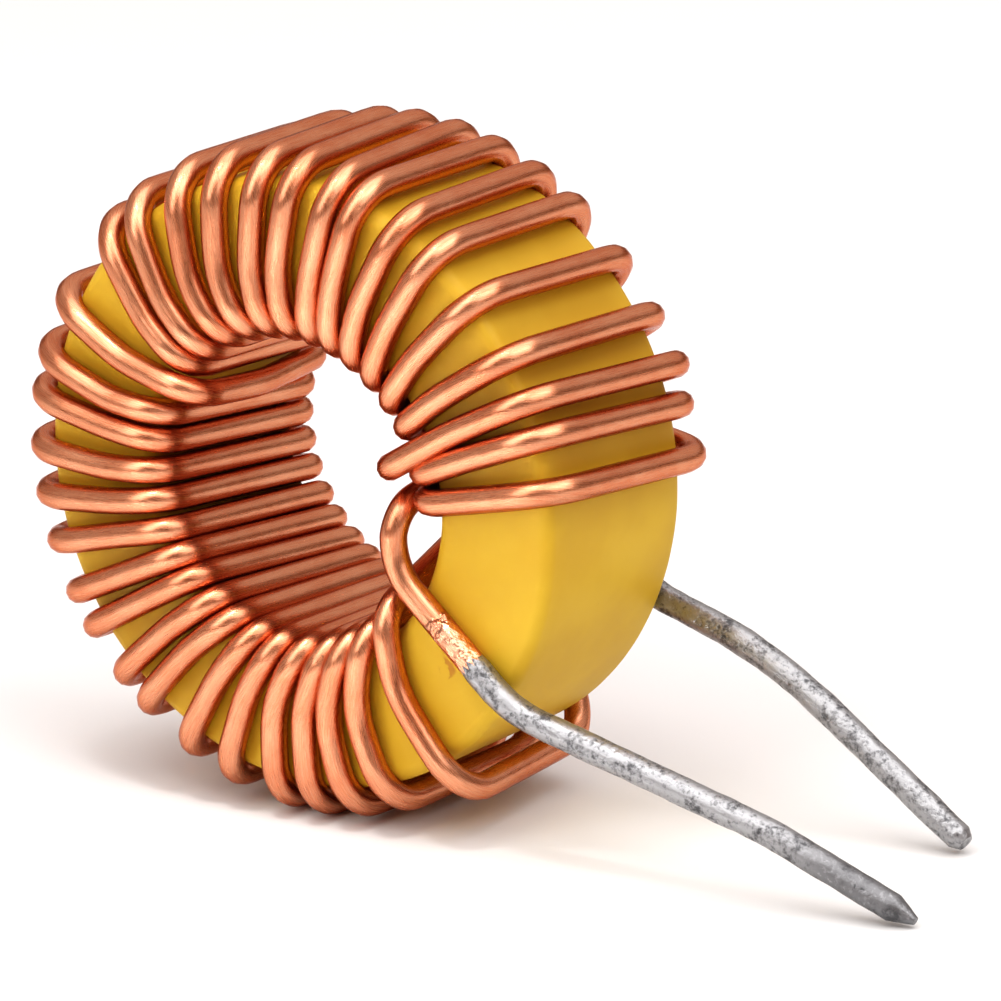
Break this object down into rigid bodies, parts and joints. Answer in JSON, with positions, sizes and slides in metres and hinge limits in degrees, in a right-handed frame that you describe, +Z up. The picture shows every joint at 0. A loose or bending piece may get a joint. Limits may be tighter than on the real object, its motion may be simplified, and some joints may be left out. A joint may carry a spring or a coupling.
{
  "type": "toroidal inductor",
  "caption": "Ring-shaped power inductor: one enamelled copper wire wound through a yellow coated powder ring, with both tinned ends led out to one side.",
  "frame": {"origin": "on the surface it stands on, under the middle of the part's bounding box", "axes": "+Z up; the ring stands on its rim with its axis along Y and its front face, the one with the visible lead, towards -Y; both leads point along +X"},
  "size_m": [0.0407, 0.0124, 0.0264],
  "materials": {
    "core_coat": "satin yellow coat over pressed metal powder",
    "copper_wire": "glossy clear enamel over copper",
    "tin": "uneven, mottled solder"
  },
  "bodies": {
    "root": {"core": "core_coat", "winding": "copper_wire", "front_tinning": "tin", "rear_tinning": "tin"}
  },
  "joints": []
}
